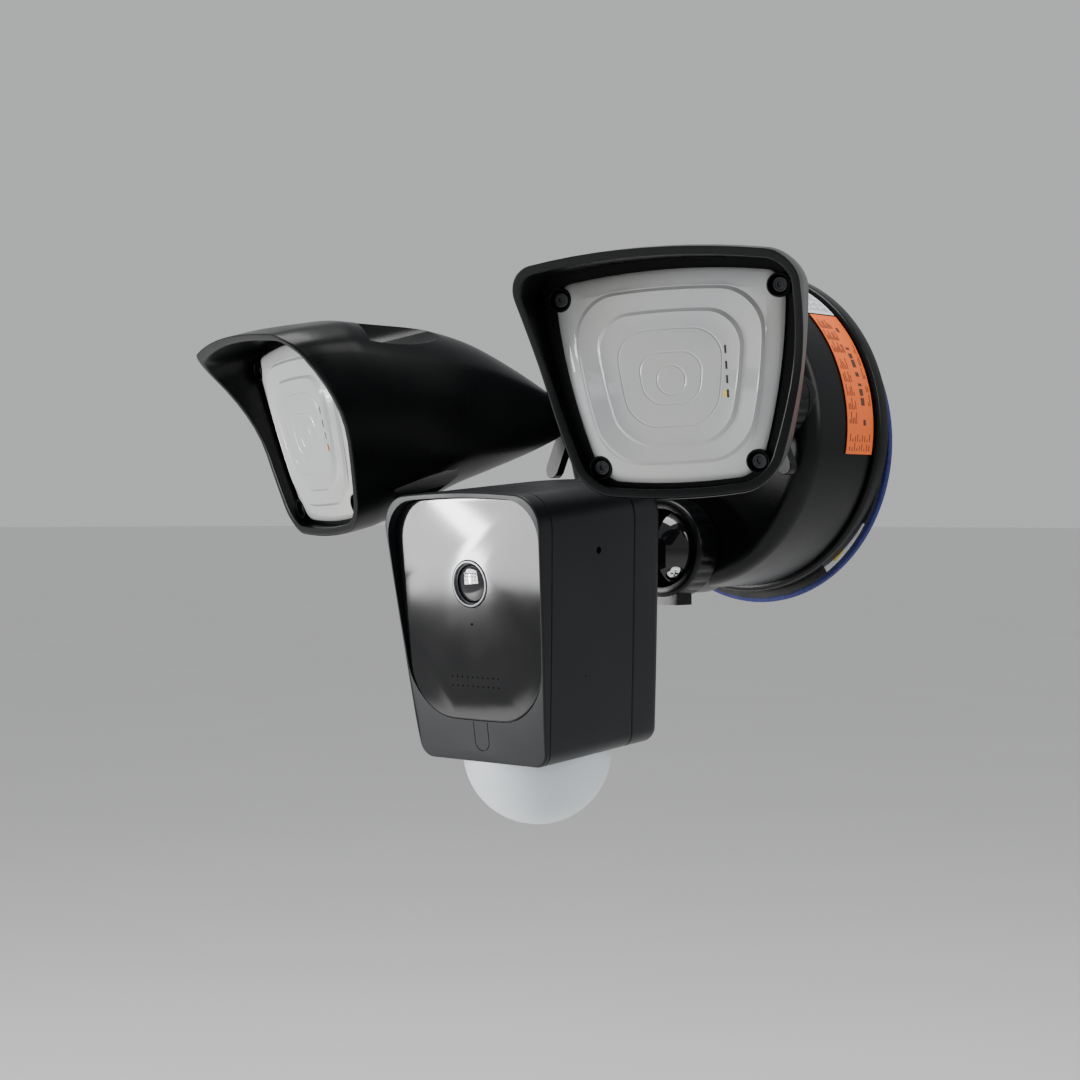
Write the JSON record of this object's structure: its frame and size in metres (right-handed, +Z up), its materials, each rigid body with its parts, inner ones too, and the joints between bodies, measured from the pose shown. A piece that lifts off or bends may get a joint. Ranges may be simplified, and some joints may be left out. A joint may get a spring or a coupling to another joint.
{
  "type": "floodlight security camera",
  "caption": "Wall-mounted floodlight with two hooded lamp heads and a camera unit with a motion sensor dome, each on a ball joint with a lock ring.",
  "frame": {"origin": "centre of the wall face, on the wall plate's back", "axes": "+Y into the wall, -Y the way the lamps and camera face, +X to the viewer's right, +Z up"},
  "size_m": [0.2677, 0.2039, 0.203],
  "materials": {
    "shell": "black moulded plastic, fine satin texture",
    "unit_shell": "charcoal moulded plastic, matte",
    "gloss_black": "polished black",
    "steel": "zinc plated",
    "chrome": "polished",
    "aluminium": "as cast",
    "blue_foam": "closed cell foam",
    "rubber": "matte",
    "orange": "printed film, satin",
    "white": "satin white",
    "lens_clear": "frosted diffuser with a polished face",
    "board_green": "solder resist",
    "dome_white": "translucent frosted white",
    "camera_glass": "coated lens glass"
  },
  "bodies": {
    "base": {"base_housing": "shell", "wall_seal": "blue_foam", "wall_plate": "steel", "cable_grommet": "rubber", "case_screw_top": "steel", "case_screw_bottom": "steel", "terminal_block": "white", "driver_board": "board_green", "driver_transformer": "aluminium", "warning_label": "orange", "rating_label": "white"},
    "left_ring": {"left_lock_ring": "shell"},
    "right_ring": {"right_lock_ring": "shell"},
    "camera_ring": {"camera_lock_ring": "shell"},
    "left_swivel": {"left_ball": "gloss_black", "left_tilt_pin": "steel"},
    "right_swivel": {"right_ball": "gloss_black", "right_tilt_pin": "steel"},
    "camera_swivel": {"camera_ball": "gloss_black", "camera_tilt_pin": "steel", "camera_clamp_screw": "chrome"},
    "camera_unit": {"camera_neck": "shell", "unit_body": "unit_shell", "rear_cover": "unit_shell", "front_bezel": "unit_shell", "front_panel": "gloss_black", "lens_ring": "steel", "camera_lens": "camera_glass", "camera_module": "gloss_black", "main_board": "board_green", "speaker": "rubber", "sensor_dome": "dome_white", "dome_retainer": "shell", "sensor_board": "board_green", "motion_sensor": "steel", "rear_screw_top": "steel", "rear_screw_bottom": "steel"},
    "reset_button": {"reset_button": "shell"},
    "left_lamp": {"left_neck": "gloss_black", "left_housing": "shell", "left_lens": "lens_clear", "left_gasket": "rubber", "left_reflector": "white", "left_led_board": "white", "left_heat_sink": "aluminium", "left_lens_screw_top_right": "steel", "left_lens_screw_top_left": "steel", "left_lens_screw_bottom_right": "steel", "left_lens_screw_bottom_left": "steel"},
    "right_lamp": {"right_neck": "gloss_black", "right_housing": "shell", "right_lens": "lens_clear", "right_gasket": "rubber", "right_reflector": "white", "right_led_board": "white", "right_heat_sink": "aluminium", "right_lens_screw_top_right": "steel", "right_lens_screw_top_left": "steel", "right_lens_screw_bottom_right": "steel", "right_lens_screw_bottom_left": "steel"}
  },
  "joints": [
    {"name": "left_ring_turn", "type": "hinge", "parent": "base", "child": "left_ring", "pos_m": [-0.045, -0.057, 0.009], "axis": [0, -1, 0], "range_deg": [0, 40]},
    {"name": "left_pan", "type": "hinge", "parent": "base", "child": "left_swivel", "pos_m": [-0.045, -0.057, 0.009], "axis": [0, 0, -1], "range_deg": [-5, 18]},
    {"name": "left_tilt", "type": "hinge", "parent": "left_swivel", "child": "left_lamp", "pos_m": [-0.045, -0.057, 0.009], "axis": [0.9461, -0.3239, 0], "range_deg": [-35, 10]},
    {"name": "right_ring_turn", "type": "hinge", "parent": "base", "child": "right_ring", "pos_m": [0.045, -0.057, 0.009], "axis": [0, -1, 0], "range_deg": [0, 40]},
    {"name": "right_pan", "type": "hinge", "parent": "base", "child": "right_swivel", "pos_m": [0.045, -0.057, 0.009], "axis": [0, 0, 1], "range_deg": [-16, 14]},
    {"name": "right_tilt", "type": "hinge", "parent": "right_swivel", "child": "right_lamp", "pos_m": [0.045, -0.057, 0.009], "axis": [0.9285, 0.3714, 0], "range_deg": [-35, 12]},
    {"name": "camera_ring_turn", "type": "hinge", "parent": "base", "child": "camera_ring", "pos_m": [0, -0.058, -0.0449], "axis": [0, -1, 0], "range_deg": [0, 40]},
    {"name": "camera_pan", "type": "hinge", "parent": "base", "child": "camera_swivel", "pos_m": [0, -0.058, -0.0449], "axis": [0, 0, 1], "range_deg": [-7, 35]},
    {"name": "camera_tilt", "type": "hinge", "parent": "camera_swivel", "child": "camera_unit", "pos_m": [0, -0.058, -0.0449], "axis": [1, 0, 0], "range_deg": [-20, 35]},
    {"name": "reset_press", "type": "slide", "parent": "camera_unit", "child": "reset_button", "axis": [-1, 0, 0], "range_m": [0, 0.0008], "stiffness_N_per_m": 300}
  ]
}
